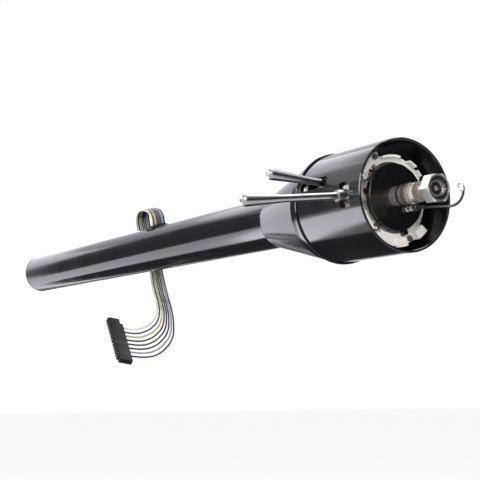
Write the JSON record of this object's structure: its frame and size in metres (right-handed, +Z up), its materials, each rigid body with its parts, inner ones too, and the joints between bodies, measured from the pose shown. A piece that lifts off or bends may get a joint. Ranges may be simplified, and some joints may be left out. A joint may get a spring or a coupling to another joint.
{
  "type": "steering column",
  "caption": "Tilting steering column with a long tube, conical lower bell, open bell with turn-signal switch, turn and tilt levers, splined shaft and flat wiring harness.",
  "frame": {"origin": "on the column axis in the plane of the clamp that hangs the tube under the dash", "axes": "+X up the column towards the steering wheel, +Z up, +Y to the driver's right"},
  "size_m": [0.9229, 0.2133, 0.1885],
  "materials": {
    "black_paint": "black gloss paint",
    "cast_alloy": "as cast",
    "zinc_steel": "zinc plated",
    "dark_steel": "black oxide",
    "turned_steel": "machined",
    "bearing_steel": "ground",
    "plated_lever": "polished plating",
    "spring_steel": "drawn wire",
    "brown_spring": "tinted wire",
    "contact_copper": "copper strip",
    "contact_metal": "tinned",
    "white_nylon": "moulded",
    "joint_nylon": "moulded",
    "black_nylon": "moulded",
    "connector_plastic": "moulded",
    "grommet_rubber": "soft",
    "ribbon_vinyl": "flat cable",
    "horn_lead": "vinyl",
    "vinyl_white": "wire insulation",
    "vinyl_green": "wire insulation",
    "vinyl_yellow": "wire insulation",
    "vinyl_brown": "wire insulation",
    "vinyl_purple": "wire insulation",
    "vinyl_blue": "wire insulation",
    "vinyl_sky": "wire insulation",
    "vinyl_black": "wire insulation"
  },
  "bodies": {
    "column": {"column_tube": "black_paint", "end_plug": "dark_steel", "lower_bearing": "bearing_steel", "harness_grommet": "grommet_rubber", "lower_bell": "black_paint", "tilt_support": "cast_alloy", "support_screws": "zinc_steel", "support_bush": "joint_nylon", "pivot_pins": "turned_steel", "tilt_spring": "spring_steel", "harness_ribbon": "ribbon_vinyl", "wire_white": "vinyl_white", "wire_green": "vinyl_green", "wire_yellow": "vinyl_yellow", "wire_brown": "vinyl_brown", "wire_purple": "vinyl_purple", "wire_blue": "vinyl_blue", "wire_sky": "vinyl_sky", "wire_black": "vinyl_black", "connector_body": "connector_plastic", "connector_end": "connector_plastic"},
    "tilt_head": {"head_housing": "cast_alloy", "bell": "black_paint", "housing_bolts": "zinc_steel", "front_bearing_cup": "bearing_steel", "front_bearing_balls": "bearing_steel", "rear_bearing_cup": "bearing_steel", "rear_bearing_balls": "bearing_steel", "shoe_pin": "turned_steel", "release_pin": "turned_steel", "spring_cup": "zinc_steel", "switch_base": "white_nylon", "switch_screws": "zinc_steel", "switch_springs": "brown_spring"},
    "steering_shaft": {"upper_shaft": "turned_steel", "front_bearing_cone": "bearing_steel", "rear_bearing_cone": "bearing_steel", "wheel_nut": "turned_steel", "cancel_cam": "black_nylon", "cam_spring": "spring_steel", "snap_ring": "dark_steel", "horn_tower": "black_nylon", "horn_contact": "contact_metal", "horn_collar": "black_nylon", "horn_wire": "horn_lead", "horn_eyelet": "contact_metal"},
    "lower_shaft": {"lower_shaft": "turned_steel", "shaft_clip": "dark_steel", "centring_ball": "joint_nylon"},
    "turn_lever": {"lever_carrier": "white_nylon", "turn_lever": "plated_lever", "switch_contact": "contact_copper"},
    "tilt_lever": {"release_arm": "dark_steel", "tilt_lever": "plated_lever"},
    "lock_shoe": {"lock_shoe": "dark_steel"},
    "hazard_knob": {"hazard_knob": "black_nylon"}
  },
  "joints": [
    {"name": "tilt", "type": "hinge", "parent": "column", "child": "tilt_head", "pos_m": [0.202, 0, 0], "axis": [0, -1, 0], "range_deg": [-15, 15], "deforming": ["tilt_spring"]},
    {"name": "steer", "type": "hinge", "parent": "tilt_head", "child": "steering_shaft", "pos_m": [0.202, 0, 0], "axis": [1, 0, 0], "continuous": true},
    {"name": "output", "type": "hinge", "parent": "column", "child": "lower_shaft", "pos_m": [0, 0, 0], "axis": [1, 0, 0], "continuous": true},
    {"name": "turn_signal", "type": "hinge", "parent": "tilt_head", "child": "turn_lever", "pos_m": [0.2785, -0.033, 0], "axis": [1, 0, 0], "range_deg": [-12, 12]},
    {"name": "tilt_release", "type": "hinge", "parent": "tilt_head", "child": "tilt_lever", "pos_m": [0.242, -0.031, 0.0137], "axis": [0, 0, 1], "range_deg": [0, 10], "stiffness_Nm_per_rad": 0.6},
    {"name": "shoe", "type": "hinge", "parent": "tilt_head", "child": "lock_shoe", "pos_m": [0.2305, 0, 0.031], "axis": [0, 1, 0], "range_deg": [0, 9]},
    {"name": "hazard", "type": "slide", "parent": "tilt_head", "child": "hazard_knob", "axis": [0, -1, 0], "range_m": [0, 0.006]}
  ],
  "couplings": [
    {"joint": "output", "follows": "steer", "ratio": 1},
    {"joint": "shoe", "follows": "tilt_release", "ratio": 0.9}
  ]
}
